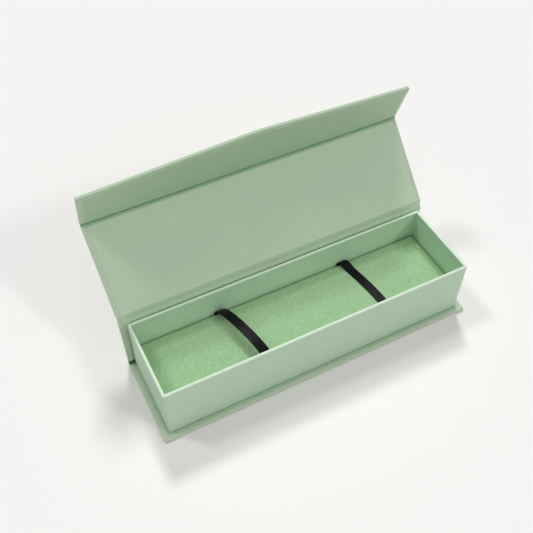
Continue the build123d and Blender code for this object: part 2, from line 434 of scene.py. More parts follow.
def addBump(tree, shader, height, distance, strength):
    bump = addNode(tree, "ShaderNodeBump", (-250, -350), Distance=distance * mm, Strength=strength)
    tree.links.new(height, bump.inputs["Height"])
    tree.links.new(bump.outputs["Normal"], shader.inputs["Normal"])


# each paper's fold colour is painted shade, laid where the wear attribute is below 0
papers = {
    "cover paper": {
        "colour": (0.600, 0.725, 0.550), "worn": (0.40, 0.39, 0.30), "fold": (0.16, 0.34, 0.19),
        "wear": 0.85, "specular": 0.3,
    },
    "liner paper": {
        "colour": (0.598, 0.772, 0.556), "worn": (0.40, 0.55, 0.38), "fold": (0.10, 0.24, 0.10),
        "wear": 0.6, "specular": 0.3,
    },
    # the flap's liner is the liner paper made darker, painted shade, and its fold colour is painted shade tinted
    # by green bounce from the lid
    "flap liner paper with painted shade": {
        "colour": (0.519, 0.673, 0.482), "worn": (0.40, 0.52, 0.36), "fold": (0.10, 0.33, 0.12),
        "wear": 0.6, "specular": 0.3,
    },
    # the tray paper's pale worn colour on the rim's edges is wear and a painted highlight
    "tray paper": {
        "colour": (0.556, 0.742, 0.553), "worn": (0.78, 0.90, 0.76), "fold": (0.24, 0.34, 0.24),
        "wear": 0.8, "specular": 0.35,
    },
}
paperFinish = {"roughness": 0.6, "grain": 0.06, "clouds": 0.07, "bump": 0.05, "bumpStrength": 0.35}


def makePaper(name, look):
    material, tree, shader = newMaterial(name, paperFinish["roughness"], look["specular"])
    grain = addNode(tree, "ShaderNodeGroup", (-800, 100), node_tree=paperGrain)
    grain.inputs["Colour"].default_value = (*look["colour"], 1)
    grain.inputs["Grain"].default_value = paperFinish["grain"]
    grain.inputs["Clouds"].default_value = paperFinish["clouds"]
    wear = addNode(tree, "ShaderNodeGroup", (-500, 200), node_tree=wearAndShadeGroup)
    wear.inputs["Worn colour"].default_value = (*look["worn"], 1)
    wear.inputs["Painted shade colour"].default_value = (*look["fold"], 1)
    wear.inputs["Amount"].default_value = look["wear"]
    tree.links.new(grain.outputs["Colour"], wear.inputs["Colour"])
    tree.links.new(wear.outputs["Colour"], shader.inputs["Base Color"])
    tree.links.new(grain.outputs["Roughness"], shader.inputs["Roughness"])
    addBump(tree, shader, grain.outputs["Height"], paperFinish["bump"], paperFinish["bumpStrength"])
    return material


coverPaper, linerPaper, shadedLinerPaper, trayPaper = [
    makePaper(name, look) for name, look in papers.items()
]

suede = {
    "light": (0.450, 0.672, 0.400),
    "dark": (0.338, 0.535, 0.285),
    "roughness": 0.95,
    "specular": 0.08,
    "sheen": 0.15,
    "sheenRoughness": 0.5,
    "sheenTint": (0.75, 0.95, 0.65),
    "napShare": 0.65,       # fine nap against the wider strokes of a brush
    "brushedShare": 0.35,
    "contrast": (0.38, 0.62),
    "bump": 0.25,
    "bumpStrength": 0.5,
}


def makeSuede():
    material, tree, shader = newMaterial("suede cloth", suede["roughness"], suede["specular"])
    shader.inputs["Sheen Weight"].default_value = suede["sheen"]
    shader.inputs["Sheen Roughness"].default_value = suede["sheenRoughness"]
    shader.inputs["Sheen Tint"].default_value = (*suede["sheenTint"], 1)
    place = addNode(tree, "ShaderNodeTexCoord", (-1300, 0))
    nap = addNode(tree, "ShaderNodeTexNoise", (-1000, 150), Scale=1100.0, Detail=6.0, Roughness=0.75)
    brushed = addNode(tree, "ShaderNodeTexNoise", (-1000, -100), Scale=420.0, Detail=4.0, Distortion=0.3)
    for node in (nap, brushed):
        tree.links.new(place.outputs["Object"], node.inputs["Vector"])
    strokes = mathNode(tree, "MULTIPLY", brushed.outputs["Fac"], suede["brushedShare"], (-750, -100))
    fibres = mathNode(tree, "MULTIPLY", nap.outputs["Fac"], suede["napShare"], (-750, 100))
    spread = addNode(tree, "ShaderNodeMapRange", (-400, 0))
    for name, value in zip(("From Min", "From Max"), suede["contrast"]):
        spread.inputs[name].default_value = value
    tree.links.new(mathNode(tree, "ADD", strokes, fibres, (-550, 0)), spread.inputs["Value"])
    colour = mixColours(tree, spread.outputs[0], (*suede["dark"], 1), (*suede["light"], 1), (-200, 100))
    tree.links.new(colour, shader.inputs["Base Color"])
    addBump(tree, shader, nap.outputs["Fac"], suede["bump"], suede["bumpStrength"])
    return material


elastic = {
    "colour": (0.0015, 0.0014, 0.0022),
    "lit": (0.006, 0.0055, 0.008),
    "satin": (0.15, 0.34),      # roughness of its shiny and its dull patches
    "patches": (0.42, 0.56),
    "specular": 0.11,
    "sheen": 0.015,
    "sheenRoughness": 0.4,
    "pick": 0.45,       # length of one weft pick, in millimetres
    "bump": 0.06,
    "bumpStrength": 0.25,
}


def makeElastic():
    material, tree, shader = newMaterial("band cloth", elastic["satin"][1], elastic["specular"])
    shader.inputs["Sheen Weight"].default_value = elastic["sheen"]
    shader.inputs["Sheen Roughness"].default_value = elastic["sheenRoughness"]
    place = addNode(tree, "ShaderNodeTexCoord", (-1300, 0))
    along = addNode(tree, "ShaderNodeAttribute", (-1300, -300), attribute_name="along")
    turns = mathNode(tree, "MULTIPLY", along.outputs["Fac"], 2 * math.pi / elastic["pick"], (-1100, -300))
    picks = mathNode(tree, "SINE", turns, 0.0, (-950, -300))
    fuzz = addNode(tree, "ShaderNodeTexNoise", (-1000, 100), Scale=2600.0, Detail=3.0)
    tree.links.new(place.outputs["Object"], fuzz.inputs["Vector"])
    dull, lit = (*elastic["colour"], 1), (*elastic["lit"], 1)
    colour = mixColours(tree, fuzz.outputs["Fac"], dull, lit, (-200, 100))
    tree.links.new(colour, shader.inputs["Base Color"])
    patches = addNode(tree, "ShaderNodeTexNoise", (-1000, 350), Scale=620.0, Detail=4.0, Roughness=0.7)
    tree.links.new(place.outputs["Object"], patches.inputs["Vector"])
    satin = addNode(tree, "ShaderNodeMapRange", (-500, 350))
    limits = (*elastic["patches"], *elastic["satin"])
    for name, value in zip(("From Min", "From Max", "To Min", "To Max"), limits):
        satin.inputs[name].default_value = value
    tree.links.new(patches.outputs["Fac"], satin.inputs["Value"])
    tree.links.new(satin.outputs[0], shader.inputs["Roughness"])
    weave = mathNode(tree, "MULTIPLY", picks, 0.5, (-750, -300))
    height = mathNode(tree, "ADD", weave, fuzz.outputs["Fac"], (-550, -200))
    addBump(tree, shader, height, elastic["bump"], elastic["bumpStrength"])
    return material


boards = {
    "grey board": {"colour": (0.36, 0.33, 0.28), "grain": 0.5},
    "corner tape": {"colour": (0.62, 0.56, 0.45), "grain": 0.25},
}
boardFinish = {"roughness": 0.85, "specular": 0.2, "clouds": 0.15, "bump": 0.1, "bumpStrength": 0.5}


def makeBoard(name, look):
    material, tree, shader = newMaterial(name, boardFinish["roughness"], boardFinish["specular"])
    grain = addNode(tree, "ShaderNodeGroup", (-600, 100), node_tree=paperGrain)
    grain.inputs["Colour"].default_value = (*look["colour"], 1)
    grain.inputs["Grain"].default_value = look["grain"]
    grain.inputs["Clouds"].default_value = boardFinish["clouds"]
    tree.links.new(grain.outputs["Colour"], shader.inputs["Base Color"])
    addBump(tree, shader, grain.outputs["Height"], boardFinish["bump"], boardFinish["bumpStrength"])
    return material


plating = {
    "colour": (0.62, 0.62, 0.63),
    "roughness": 0.32,
    "specular": 0.5,
    "grain": 0.08,
    "bump": 0.02,
    "bumpStrength": 0.2,
}


def makeMagnet():
    material, tree, shader = newMaterial("magnet plating", plating["roughness"], plating["specular"])
    shader.inputs["Metallic"].default_value = 1.0
    grain = addNode(tree, "ShaderNodeGroup", (-600, 100), node_tree=paperGrain)
    grain.inputs["Colour"].default_value = (*plating["colour"], 1)
    grain.inputs["Grain"].default_value = plating["grain"]
    tree.links.new(grain.outputs["Colour"], shader.inputs["Base Color"])
    addBump(tree, shader, grain.outputs["Height"], plating["bump"], plating["bumpStrength"])
    return material


suedeCloth = makeSuede()
bandCloth = makeElastic()
greyBoard, cornerTape = [makeBoard(name, look) for name, look in boards.items()]
magnetPlating = makeMagnet()
print("materials made")


# Case: one cover sheet from the base to the lid, with the boards inside it
edgeRadius = 0.5        # of a wrapped board's long edges
boardEnd = 0.38     # rounding of an outline's ends along X, where it wraps a board
hingeEnd = 0.1
sheetEnd = 0.03


def coverBackOutline():
    plate, step, gap = case["plate"], case["linerStep"], case["hingeGap"]
    level = 2 * case["paper"]
    flat = Vector((1, 0))
    heel = meeting(spineFoot, spineStep, Vector((0, 0)), flat)
    innerHeel = meeting(spinePoint(0, level), spineStep, Vector((0, level)), flat)
    upper, lower = [lidAxis + Vector(offset) for offset in case["hingeInner"]]
    return roundedOutline([
        (Vector((baseLow.y, 0)), edgeRadius, 0.9, boardEnd),
        (heel, 1.7, 0.3, hingeEnd),
        (spinePoint(spineLength + case["hingeHead"], 0), 1.2, 0, hingeEnd),
        (lidPoint(case["hingeTurn"], case["hingeLevel"]), 0.6, 0, hingeEnd),
        (lidPoint(gap, case["hingeLevel"]), 0.25, 0, hingeEnd),
        (lidPoint(gap, plate), edgeRadius, 1, boardEnd),
        (lidPoint(lidEnd, plate), edgeRadius, 1, boardEnd),
        (lidPoint(lidEnd, step), 0.42, 0, boardEnd),
        (lidPoint(case["hingeJoin"], step), 0.8, 0, hingeEnd),
        (upper, 0.9, 0, hingeEnd),
        (lower, 0.9, 0, hingeEnd),
        (spinePoint(spineLength - case["hingeTuck"], plate - step), 0.8, 0.2, hingeEnd),
        (spinePoint(0, plate - step), edgeRadius, 0.6, boardEnd),
        (spinePoint(0, level), 0.3, 0, hingeEnd),
        (innerHeel, 1.3, 0, hingeEnd),
        (Vector((baseHigh.y, level)), 0.3, 0, hingeEnd),
        (Vector((baseHigh.y, plate - step)), edgeRadius, 0.6, boardEnd),
        (Vector((baseLow.y, plate - step)), edgeRadius, 0.1, boardEnd),
    ])


# The inner face between lid and flap: it sinks behind the lid's board and rises to a sharp
# fold at the flap's foot, where wear below 0 paints shade into the fold and along the strip beside it.
# Points are (point, radius, wear), from the flap to the lid.
def creasePath(sunk):
    along, depth = case["creaseFoot"]
    level, deep = case["creaseFall"]
    return [
        (flapPoint(along + case["creaseRise"], sunk), 0.14, -0.2),
        (flapPoint(along, depth + sunk), 0.12, -1),
        (lidPoint(lidEnd + deep, case["creaseSink"] + sunk), 0.25, -0.2),
        (lidPoint(lidEnd + level, sunk), 0.2, 0),
    ]


def coverFrontOutline():
    tuck = lidEnd - case["creaseTuck"]
    under, plate, step = case["creaseUnder"], case["plate"], case["linerStep"]
    outerTurn = meeting(lidPoint(tuck, under), lidStep, flapPoint(0, under), flapStep)
    start, end = case["flapStart"], case["flapLength"]
    inner = [(point, radius, wear, hingeEnd) for point, radius, wear in creasePath(step)[:3]]
    return roundedOutline([
        (lidPoint(tuck, under), 0.13, 0, hingeEnd),
        (outerTurn, 0.5, 0, hingeEnd),
        (flapPoint(start, under), 0.2, 0, hingeEnd),
        (flapPoint(start, plate), edgeRadius, 1, boardEnd),
        (flapPoint(end, plate), edgeRadius, 0, boardEnd),
        (flapPoint(end, step), 0.8, 0, boardEnd),
        *inner,
        (lidPoint(tuck, case["creaseSink"] + step), 0.13, 0, hingeEnd),
    ])


# The flap's board has taken a set: its ends lean further in and its middle stands more upright.
# Angles are above +Y, peak is where along the box it stands most upright, and fold is the
# stretch along the flap over which the turn sets in.
flapBow = {"middle": 100.2, "ends": 109.8, "peak": 4.0, "soft": 7.0, "power": 0.9, "fold": (-0.5, 1.0)}


def bowFlap(v):
    relative = Vector((v.y, v.z)) - crease
    follow = smooth(*flapBow["fold"], relative.dot(flapStep))
    reach = math.hypot(v.x - flapBow["peak"], flapBow["soft"]) - flapBow["soft"]
    share = (reach / (case["halfLength"] + abs(flapBow["peak"]))) ** flapBow["power"]
    target = softMix(flapBow["middle"], flapBow["ends"], min(1.0, share))
    angle = math.radians(target - case["lidAngle"] - case["flapFold"]) * follow
    turned = crease + Matrix.Rotation(angle, 2) @ relative
    return Vector((v.x, turned.x, turned.y))


# Painted shade: on the base round the tray, in the gap behind it, at the flap's free edge and
# up the flap from its fold, where the middle also picks up green from the lid. The lists are
# (distance, shade), in millimetres from the tray or below the flap's inner face.
shade = {
    "lips": [(-0.15, 0.66), (0.1, 0.62), (0.6, 0.44), (1.1, 0.36), (2.1, 0.31), (2.6, 0.24), (3.1, 0.05)],
    "lipLevel": 0.2,
    "gap": [(-0.15, 0.9), (0.1, 0.85), (0.6, 0.6), (1.1, 0.25), (2.1, 0.0)],
    "groove": 0.9,
    "grooveTop": 1.5,
    "grooveDepth": 0.3,
    "freeEdge": [(0.0, 0.32), (1.5, 0.28), (2.9, 0.0)],
    "freeEdgeReach": 0.8,
    "flap": 0.24,
    "flapReach": 118,
    "flapFade": 11,
    "flapTop": 0.35,
    "flapPlaces": [2.5, 4, 6, 9, 13, 18, 24],
}


# painted shade on the lips round the tray, in the gap behind it and in the groove at the spine's foot
def trayContactShade(v):
    x, y, z = v
    away = math.hypot(max(0.0, abs(x) - trayHigh.x), max(0.0, trayLow.y - y))
    if y > trayHigh.y:
        inside = min(z, (Vector((y, z)) - spineFoot).dot(spineInward)) > shade["grooveDepth"]
        if z < case["plate"] + shade["grooveTop"]:
            return -shade["groove"] * inside
        return -between(shade["gap"], away) * max(0.0, 1 - z / trayHigh.z)
    onLip = abs(z - case["plate"]) < shade["lipLevel"]
    return -between(shade["lips"], away) if onLip else 0.0


def freeEdgeShade(v):
    relative = Vector((v[1], v[2])) - crease
    if relative.dot(flapStep) < case["flapLength"] - shade["freeEdgeReach"]:
        return 0.0
    return -between(shade["freeEdge"], -relative.dot(flapInward))


def flapShade(v):
    along = (Vector((v[1], v[2])) - crease).dot(flapStep)
    if along <= 1:
        return 0.0
    middle = max(0.0, 1 - (v[0] / shade["flapReach"]) ** 2)
    rise = softMix(shade["flapTop"], 1.0, math.exp(-along / shade["flapFade"]))
    return -shade["flap"] * middle * rise


# The lid's cover sheet drifts out at the left, so its left margin widens towards the flap
drift = {"from": 110, "over": 7, "levels": (44, 56), "least": 0.6, "slope": 0.015, "slopeFrom": 54}


def driftLeft(v):
    share = max(0.0, min(1.0, (-v.x - drift["from"]) / drift["over"]))
    amount = drift["least"] + drift["slope"] * max(0.0, v.z - drift["slopeFrom"])
    return Vector((v.x - share * smooth(*drift["levels"], v.z) * amount, v.y, v.z))


# Places along X where the case's pieces have a ring of points, close together beside the tray
lidStations = evenSteps(-110, 110, 22)
lipStations = [side * (trayHigh.x + place) for side in (-1, 1) for place, _ in shade["lips"]]
baseStations = sorted(lidStations + lipStations)
flapStations = evenSteps(-116, 116, 58)


def buildCovers():
    lip = Vector((0, case["plate"] - case["linerStep"]))
    places = [trayLow.y - place for place, _ in shade["lips"]]
    outline = withPlaces(coverBackOutline(), lip, Vector((1, 0)), places)
    back = drawnAlongX("case_cover", outline, case["halfLength"], baseStations, coverPaper,
                       driftLeft, trayContactShade)
    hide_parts("base_cover_paper", "base_hinge_paper", "spine_cover_paper",
                "lid_hinge_paper", "lid_cover_paper")
    front = drawnAlongX("flap_cover", coverFrontOutline(), case["halfLength"], flapStations, coverPaper,
                        lambda v: driftLeft(bowFlap(v)), freeEdgeShade)
    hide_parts("flap_hinge_paper", "flap_cover_paper")
    return back, front


liners = {
    "thickness": 0.2,
    "baseThickness": 0.24,
    "underTray": 1,
    "behindHinge": 0.12,
    "overEdge": 0.25,       # past the lid board's edge, and how far it drops there
    "edgeDrop": 0.12,
    "aboveHeel": 0.4,
}
linerHalf = case["halfLength"] - case["linerInset"]


def buildBaseLiner():       # under the tray
    start, end = baseHigh.y, trayLow.y + liners["underTray"]
    path = [(Vector((y, case["plate"])), 0.1, 0) for y in (start, end)]
    outline = sheetOutline(path, liners["baseThickness"], sheetEnd)
    liner = drawnAlongX("base_liner", outline, trayHigh.x - liners["underTray"], lidStations, linerPaper)
    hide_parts("base_liner_paper")
    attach(liner, "base")


def buildLidLiner():        # up the spine, over the hinge and up the lid
    plate = case["plate"]
    behind = Vector((liners["behindHinge"], 0))
    upper, lower = [lidAxis + Vector(offset) - behind for offset in case["hingeInner"]]
    path = [
        (lidPoint(lidEnd + liners["overEdge"], liners["edgeDrop"]), 0.08, 0),
        (lidPoint(lidEnd, 0), 0.2, 0),
        (lidPoint(case["hingeJoin"], 0), 0.6, 0),
        (upper, 0.9, 0),
        (lower, 0.9, 0),
        (spinePoint(spineLength - case["hingeTuck"], plate), 0.8, 0.2),
        (spinePoint(liners["aboveHeel"], plate), 0.08, 0.4),
    ]
    stations = [x for x in baseStations if abs(x) < linerHalf - 1]
    outline = sheetOutline(path, liners["thickness"], sheetEnd)
    liner = drawnAlongX("lid_liner", outline, linerHalf, stations, linerPaper, paintedShade=trayContactShade)
    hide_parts("spine_liner_paper", "lid_liner_paper")
    return liner


def buildFlapLiner():       # from behind the lid's edge to short of the free edge
    path = [(flapPoint(case["flapLength"] - case["linerInset"], 0), 0.08, 0.4)] + creasePath(0)
    outline = sheetOutline(path, liners["thickness"], sheetEnd)
    outline = withPlaces(outline, crease, flapStep, shade["flapPlaces"])
    liner = drawnAlongX("flap_liner", outline, linerHalf, flapStations, shadedLinerPaper, bowFlap, flapShade)
    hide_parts("flap_liner_paper")
    return liner


def buildFlapBoard():       # it follows the flap's set
    inset = case["paper"]
    start, end = case["flapStart"] + inset, case["flapLength"] - inset
    corners = [
        (flapPoint(start, case["plate"] - inset), 0.2, 0, 0.15),
        (flapPoint(end, case["plate"] - inset), 0.2, 0, 0.15),
        (flapPoint(end, inset), 0.8, 0, 0.15),
        (flapPoint(start, inset), 0.2, 0, 0.15),
    ]
    board = drawnAlongX("flap_board_set", roundedOutline(corners), case["halfLength"] - inset,
                        flapStations, greyBoard, bowFlap)
    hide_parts("flap_board")
    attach(board, "flap")


def buildCase():
    back, front = buildCovers()
    buildBaseLiner()
    lidLiner = buildLidLiner()
    flapLiner = buildFlapLiner()
    buildFlapBoard()
    # the papers that bend between the spine's head and the lid board's edge, and those at the crease: their
    # transforms are baked into their meshes
    for piece in (back, lidLiner):
        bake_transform(piece)
    for piece in (front, flapLiner):
        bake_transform(piece)


magnets = {"radius": 5.0, "thickness": 1.5, "spacing": 120.0, "sides": 40, "edge": 0.25, "core": 0.02}


def buildFlapMagnets():      # discs under the liner, turned with the flap's board
    low, high = nodeBox("flap_magnets")
    middle = Vector(((low.y + high.y) / 2, (low.z + high.z) / 2))
    along = (middle - crease).dot(flapStep)
    radius, edge, sides = magnets["radius"], magnets["edge"], magnets["sides"]
    top = case["paper"]
    bottom = top + magnets["thickness"]
    rings = [(0.0, top), (radius - edge, top), (radius, top + edge)]
    rings += [(radius, bottom - edge), (radius - edge, bottom), (0.0, bottom)]
    for side, name in ((-1, "flap_magnet_left"), (1, "flap_magnet_right")):
        vertices = []
        for reach, depth in rings:
            for turn in range(sides):
                angle = 2 * math.pi * turn / sides
                spot = flapPoint(along + max(reach, magnets["core"]) * math.sin(angle), depth)
                x = side * magnets["spacing"] / 2 + max(reach, magnets["core"]) * math.cos(angle)
                vertices.append(bowFlap(Vector((x, spot.x, spot.y))))
        magnet = makePiece(name, vertices, ringFaces(len(rings), sides), magnetPlating)
        if side < 0:
            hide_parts("flap_magnets")
        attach(magnet, "flap")


buildCase()
buildFlapMagnets()
print("case made")


# Tray wrap: outside, over the rim and down the inside, drawn round the tray's plan
wrap = {
    "insertGap": 0.8,       # between the pad and the tray's inner faces
    "paper": 0.2,
    "turnUnder": 12,
    "outerRadius": 1.3,
    "innerRadius": 0.25,
    "rimOuter": 0.62,
    "rimInner": 0.45,
    "rimBand": 0.3,
    "mitreDip": 0.16,
    "mitreAngle": 45,
    "cornerAngles": [0, 12, 24, 35, 42, 45, 48, 55, 66, 78, 90],
    "shares": [0.012, 0.04, 0.1, 0.2, 0.3, 0.4, 0.5, 0.6, 0.7, 0.8, 0.9, 0.96, 0.988],
}
trayWall = padLow.x - trayLow.x - wrap["insertGap"]


def trayPlan(inset):  # (point, angle in the corner or None) round the tray, from the front right corner
    halfX, halfY = trayHigh.x - inset, trayHigh.y - inset
    radius = max(wrap["outerRadius"] - inset, wrap["innerRadius"])
    corners = [((1, -1), -90), ((1, 1), 0), ((-1, 1), 90), ((-1, -1), 180)]
    plan = []
    for index, ((sideX, sideY), startAngle) in enumerate(corners):
        middle = Vector((sideX * (halfX - radius), sideY * (halfY - radius)))
        for angle in wrap["cornerAngles"]:
            step = towards(startAngle + angle)
            plan.append((middle + step * radius, angle))
        (nextX, nextY), nextStart = corners[(index + 1) % 4]
        last = middle + towards(startAngle + 90) * radius
        first = Vector((nextX * (halfX - radius), nextY * (halfY - radius))) + towards(nextStart) * radius
        plan += [(last.lerp(first, share), None) for share in wrap["shares"]]
    return plan


def buildTray():
    rim, low = trayHigh.z, trayLow.z
    paper, under = wrap["paper"], wrap["turnUnder"]
    bed = floorBoardHigh.z
    corners = [     # (inset from the tray's outside, height), rounding, wear
        ((under, low), 0.05, 0),
        ((0, low), 0.5, 0.5),
        # the rim's edges take the pale worn colour: wear and a painted highlight
        ((0, rim), wrap["rimOuter"], 1),
        ((trayWall, rim), wrap["rimInner"], 1),
        ((trayWall, bed), 0.05, 0),
        ((trayWall - paper, bed), 0.05, 0),
        ((trayWall - paper, rim - paper), 0.1, 0),
        ((paper, rim - paper), 0.1, 0),
        ((paper, low + paper), 0.1, 0),
        ((under, low + paper), 0.05, 0),
    ]
    outline = roundedOutline([(Vector(place), radius, wear, 0) for place, radius, wear in corners])
    plans = {}
    vertices, wear = [], []
    count = len(trayPlan(0))
    for point, cornerWearAndShade, _ in outline:
        inset = round(point.x, 4)
        if inset not in plans:
            plans[inset] = trayPlan(inset)
        onRim = point.y > rim - wrap["rimBand"]
        for spot, angle in plans[inset]:
            # the mitre line on the rim gets the fold colour: painted shade in the mitre's crease
            mitre = onRim and angle == wrap["mitreAngle"]
            vertices.append((spot.x, spot.y, point.y - wrap["mitreDip"] * mitre))
            wear.append(-1.0 if mitre else cornerWearAndShade)
    tray = makePiece("tray_wrap", vertices, ringFaces(len(outline), count, looped=True), trayPaper, wear)
    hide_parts("tray_wrap_paper")
    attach(tray, "base")


buildTray()
print("tray made")


# Bands: black ribbed elastic, tucked down the gaps in front of and behind the pad
bandStock = {
    "width": 7.3,
    "thickness": 0.55,
    "ribs": 8,
    "ribHeight": 0.11,
    "columns": 48,
    "step": 0.7,
    "tail": 11.0,
    "tailBend": 0.6,
    "tailGap": 0.02,
    "edgePower": 8,
    "edgeLeast": 0.12,
}
bands = {
    "left": {
        "back": -50.4, "front": -38.0, "bow": 0.0, "rise": 10.8,
        "peak": -4.0, "backPower": 2.0, "frontPower": 2.3,
    },
    "right": {
        "back": 49.3, "front": 57.4, "bow": 1.8, "rise": 0.4, "bend": 1.5, "backLift": 1.65,
        "hump": 2.2, "humpAt": 25.6, "humpSpread": 4.2,
    },
}
gapMiddle = (padHigh.y + trayHigh.y - trayWall) / 2


def bandX(band, y):  # a band's middle along the box, from its back to its front
    share = (gapMiddle - y) / (2 * gapMiddle)
    share = max(0.0, min(1.0, share))
    return softMix(band["back"], band["front"], share) + band["bow"] * 4 * share * (1 - share)


# Padded insert: suede over thin foam, puffed a little by a short cloth run
pad = {
    "radius": 1.6,
    "nothing": 1e-6,        # a distance that counts as none
    "side": 0.1,
    "grid": 3.2,
    "crown": 0.55,
    "crownRoom": 0.15,
    "sideTravel": 0.12,
    "downTravel": 0.1,
    "heldBelow": 5,
    "frames": 20,
    "bandDent": 0.35,
    "bandDentWidth": 4.5,
    "topBand": 3,
    "ripple": 0.12,
    "rippleSize": (38, 22),
    "rippleSeed": 3.1,
}
puff = {
    "quality": 6,
    "mass": 0.2,
    "use_pressure": True,
    "uniform_pressure_force": 4.0,
    "tension_stiffness": 25,
    "compression_stiffness": 25,
    "shear_stiffness": 15,
    "bending_stiffness": 2,
}


def latticeSteps(low, high, fine, spacing):  # places along one side, close together at its ends
    span = high - low
    near = [0, 0.25 * fine, 0.6 * fine, fine, 2 * fine]
    inner = max(1, round((span - 4 * fine) / spacing))
    steps = [low + n for n in near]
    steps += [low + 2 * fine + (span - 4 * fine) * i / inner for i in range(1, inner)]
    return steps + [high - n for n in reversed(near)]


def puffed(piece, pinned):  # where a short cloth run with pressure takes each point
    cloth = piece.modifiers.new("puff", "CLOTH")
    for key, value in puff.items():
        setattr(cloth.settings, key, value)
    cloth.settings.effector_weights.gravity = 0
    cloth.settings.vertex_group_mass = pinned
    cloth.collision_settings.use_collision = False
    cloth.point_cache.frame_start = 1
    cloth.point_cache.frame_end = pad["frames"]
    scene = bpy.context.scene
    for step in range(1, pad["frames"] + 1):
        scene.frame_set(step)
    shown = piece.evaluated_get(bpy.context.evaluated_depsgraph_get())
    result = [v.co.copy() for v in shown.data.vertices]
    piece.modifiers.remove(cloth)
    scene.frame_set(1)
    return result


def padShell():  # points and faces of a block with rounded edges
    low = Vector((padLow.x + pad["side"], padLow.y + pad["side"], padLow.z))
    high = Vector((padHigh.x - pad["side"], padHigh.y - pad["side"], padHigh.z - pad["crownRoom"]))
    radius = pad["radius"]
    grids = [latticeSteps(low[i], high[i], radius, pad["grid"]) for i in range(3)]
    last = [len(grid) - 1 for grid in grids]
    index, vertices = {}, []
    innerLow = low + Vector((radius,) * 3)
    innerHigh = high - Vector((radius,) * 3)
    for i in range(last[0] + 1):
        for j in range(last[1] + 1):
            for k in range(last[2] + 1):
                if i in (0, last[0]) or j in (0, last[1]) or k in (0, last[2]):
                    spot = Vector((grids[0][i], grids[1][j], grids[2][k]))
                    core = Vector([max(innerLow[n], min(innerHigh[n], spot[n])) for n in range(3)])
                    away = spot - core
                    if away.length > pad["nothing"]:
                        spot = core + away.normalized() * radius
                    index[i, j, k] = len(vertices)
                    vertices.append(spot)
    faces = []
    for axis in range(3):
        first, second = [n for n in range(3) if n != axis]
        for level in (0, last[axis]):
            for a in range(last[first]):
                for b in range(last[second]):
                    face = []
                    for da, db in ((0, 0), (1, 0), (1, 1), (0, 1)):
                        key = [0, 0, 0]
                        key[axis], key[first], key[second] = level, a + da, b + db
                        face.append(index[tuple(key)])
                    faces.append(tuple(face))
    return vertices, faces


def puffPad(piece):  # the cloth run's result, held within the pad's own room
    held = piece.vertex_groups.new(name="held")
    limit = (padHigh.z - pad["heldBelow"]) * mm
    held.add([v.index for v in piece.data.vertices if v.co.z < limit], 1.0, "REPLACE")
    moved = puffed(piece, "held")
    piece.vertex_groups.remove(held)
    aside = pad["sideTravel"] * mm
    for vertex, end in zip(piece.data.vertices, moved):
        travel = end - vertex.co
        travel.x = max(-aside, min(aside, travel.x))
        travel.y = max(-aside, min(aside, travel.y))
        travel.z = max(-pad["downTravel"] * mm, min(pad["crown"] * mm, travel.z))
        vertex.co = vertex.co + travel


def pressPad(piece):  # the lying band presses the pile down, and the cloth isn't quite even
    for vertex in piece.data.vertices:
        x, y, z = vertex.co / mm
        if z > padHigh.z - pad["topBand"]:
            offset = x - bandX(bands["right"], y)
            press = math.exp(-((offset / pad["bandDentWidth"]) ** 2))
            vertex.co.z -= pad["bandDent"] * press * mm
            place = (x / pad["rippleSize"][0], y / pad["rippleSize"][1], pad["rippleSeed"])
            vertex.co.z += pad["ripple"] * noise.noise(Vector(place)) * mm


def buildPad():
    piece = makePiece("suede_pad", *padShell(), suedeCloth, smoothAngle=180)
    puffPad(piece)
    finer = piece.modifiers.new("finer", "SUBSURF")
    finer.levels = finer.render_levels = 1
    piece.modifiers.move(1, 0)
    with bpy.context.temp_override(object=piece, active_object=piece, selected_objects=[piece]):
        bpy.ops.object.modifier_apply(modifier=finer.name)
    pressPad(piece)
    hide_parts("insert_cover", "insert_foam")
    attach(piece, "base")


def archPath(band):  # from the back gap over the pad to the front gap
    path = []
    for step in range(91):
        angle = math.pi * step / 90
        if angle <= math.pi / 2:
            reach, power, side = gapMiddle - band["peak"], band["backPower"], 1
        else:
            reach, power, side = gapMiddle + band["peak"], band["frontPower"], -1
        y = band["peak"] + side * reach * abs(math.cos(angle)) ** (2 / power)
        z = padHigh.z + band["rise"] * abs(math.sin(angle)) ** (2 / power)
        path.append(Vector((y, z)))
    return path


def quarterBend(corner, radius, across, over):  # seven points round a quarter turn
    points = []
    for step in range(7):
        angle = math.radians(15 * step)
        aside = across * radius * (1 - math.cos(angle))
        points.append(corner + aside + over * radius * (1 - math.sin(angle)))
    return points


def lyingPath(band):  # up out of the back gap, over a small hump, along the pad and down the front gap
    top = padHigh.z + band["rise"]
    bend = band["bend"]
    path = quarterBend(Vector((gapMiddle, top + band["backLift"])), bend, Vector((-1, 0)), Vector((0, -1)))
    y = gapMiddle - bend - 0.5
    while y > -gapMiddle + bend:
        spread = (y - band["humpAt"]) / band["humpSpread"]
        path.append(Vector((y, top + band["hump"] * math.exp(-spread * spread))))
        y -= bandStock["step"]
    return path + quarterBend(Vector((-gapMiddle, top)), bend, Vector((0, -1)), Vector((1, 0)))


def evenPath(path, step):
    lengths = [0.0]
    for a, b in zip(path, path[1:]):
        lengths.append(lengths[-1] + (b - a).length)
    count = round(lengths[-1] / step)
    points, segment = [], 0
    for index in range(count + 1):
        wanted = lengths[-1] * index / count
        while segment < len(path) - 2 and lengths[segment + 1] < wanted:
            segment += 1
        share = (wanted - lengths[segment]) / (lengths[segment + 1] - lengths[segment])
        points.append(path[segment].lerp(path[segment + 1], share))
    return points


